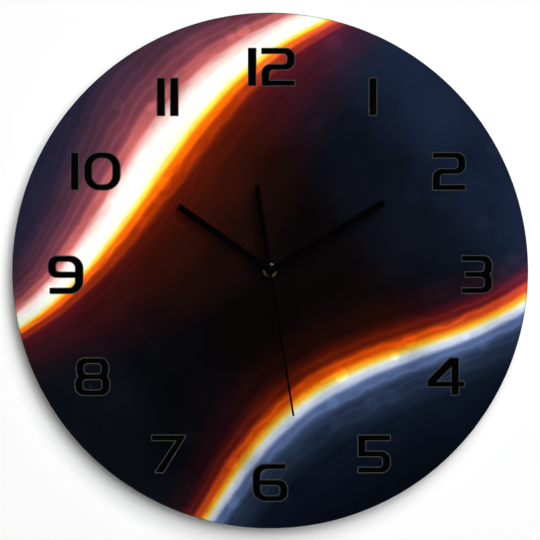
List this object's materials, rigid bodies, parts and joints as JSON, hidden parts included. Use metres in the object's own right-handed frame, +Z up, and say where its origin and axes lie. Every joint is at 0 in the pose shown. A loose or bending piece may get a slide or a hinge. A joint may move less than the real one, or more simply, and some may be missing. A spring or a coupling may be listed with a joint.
{
  "type": "wall clock",
  "caption": "Frameless round wall clock: a printed glass disc with upright numerals and plain bar hands, driven by a battery quartz movement with a keyhole hanger behind it.",
  "frame": {"origin": "on the hand axis, at the rear face of the movement, which is the wall plane", "axes": "+Y towards the wall, -Y towards the viewer, +Z up at twelve o'clock, +X to the right as seen"},
  "size_m": [0.3, 0.0321, 0.3],
  "materials": {
    "glass": "polished",
    "print": "gloss",
    "numeral_ink": "satin",
    "border_ink": "satin",
    "hand_paint": "matte",
    "brass": "satin",
    "black_metal": "satin",
    "rubber": "matte",
    "zinc_steel": "satin",
    "arbor_steel": "polished",
    "nickel": "satin",
    "black_plastic": "matte",
    "white_plastic": "satin",
    "wheel_plastic": "satin",
    "board": "satin",
    "epoxy": "gloss",
    "copper": "satin",
    "magnet": "satin",
    "battery_jacket": "satin"
  },
  "bodies": {
    "root": {"glass_dial": "glass", "dial_print": "print", "dial_numerals": "numeral_ink", "numeral_borders": "border_ink", "ring_nut": "brass", "nut_washer": "black_metal", "dial_gasket": "rubber", "bushing": "brass", "hanger": "zinc_steel", "case_front": "black_plastic", "back_cover": "black_plastic", "mid_plate": "white_plastic", "train_bridge": "white_plastic", "battery_contact_positive": "nickel", "battery_contact_negative": "nickel", "circuit_board": "board", "chip_cover": "epoxy", "crystal": "nickel", "coil_bobbin": "white_plastic", "coil_winding": "copper", "coil_core": "zinc_steel", "stator": "zinc_steel"},
    "seconds": {"second_hand": "hand_paint", "second_hand_tube": "brass", "seconds_wheel": "wheel_plastic", "seconds_arbor": "arbor_steel"},
    "minutes": {"minute_hand": "hand_paint", "minute_arbor": "wheel_plastic"},
    "hours": {"hour_hand": "hand_paint", "hour_hand_collet": "brass", "hour_wheel": "wheel_plastic"},
    "motion_work": {"motion_wheel": "wheel_plastic"},
    "setting": {"setting_knob": "black_plastic", "setting_gear": "wheel_plastic"},
    "third": {"third_wheel": "wheel_plastic"},
    "clutch": {"centre_wheel": "wheel_plastic"},
    "intermediate": {"intermediate_wheel": "wheel_plastic"},
    "rotor": {"rotor_magnet": "magnet", "rotor_pinion": "wheel_plastic"},
    "cell": {"battery": "battery_jacket"}
  },
  "joints": [
    {"name": "seconds_run", "type": "hinge", "parent": "root", "child": "seconds", "pos_m": [0, 0, 0], "axis": [0, 1, 0], "continuous": true},
    {"name": "minute_set", "type": "hinge", "parent": "root", "child": "minutes", "pos_m": [0, 0, 0], "axis": [0, 1, 0], "continuous": true},
    {"name": "hour_turn", "type": "hinge", "parent": "root", "child": "hours", "pos_m": [0, 0, 0], "axis": [0, 1, 0], "continuous": true},
    {"name": "motion_turn", "type": "hinge", "parent": "root", "child": "motion_work", "pos_m": [-0.00921, 0, 0.00335], "axis": [0, 1, 0], "continuous": true},
    {"name": "knob_turn", "type": "hinge", "parent": "root", "child": "setting", "pos_m": [-0.01861, 0, 0.00878], "axis": [0, 1, 0], "continuous": true},
    {"name": "third_turn", "type": "hinge", "parent": "root", "child": "third", "pos_m": [0.00176, 0, 0.00657], "axis": [0, 1, 0], "continuous": true},
    {"name": "clutch_turn", "type": "hinge", "parent": "root", "child": "clutch", "pos_m": [0, 0, 0], "axis": [0, 1, 0], "continuous": true},
    {"name": "intermediate_turn", "type": "hinge", "parent": "root", "child": "intermediate", "pos_m": [0.00697, 0, 0.00061], "axis": [0, 1, 0], "continuous": true},
    {"name": "rotor_turn", "type": "hinge", "parent": "root", "child": "rotor", "pos_m": [0.01189, 0, 0.00405], "axis": [0, 1, 0], "continuous": true},
    {"name": "battery_out", "type": "slide", "parent": "root", "child": "cell", "axis": [0, 1, 0], "range_m": [0, 0.016]}
  ],
  "couplings": [
    {"joint": "intermediate_turn", "follows": "seconds_run", "ratio": -6},
    {"joint": "rotor_turn", "follows": "seconds_run", "ratio": 30},
    {"joint": "third_turn", "follows": "seconds_run", "ratio": -0.13333},
    {"joint": "clutch_turn", "follows": "seconds_run", "ratio": 0.016667},
    {"joint": "motion_turn", "follows": "minute_set", "ratio": -0.33333},
    {"joint": "hour_turn", "follows": "minute_set", "ratio": 0.083333},
    {"joint": "knob_turn", "follows": "minute_set", "ratio": 0.7}
  ]
}
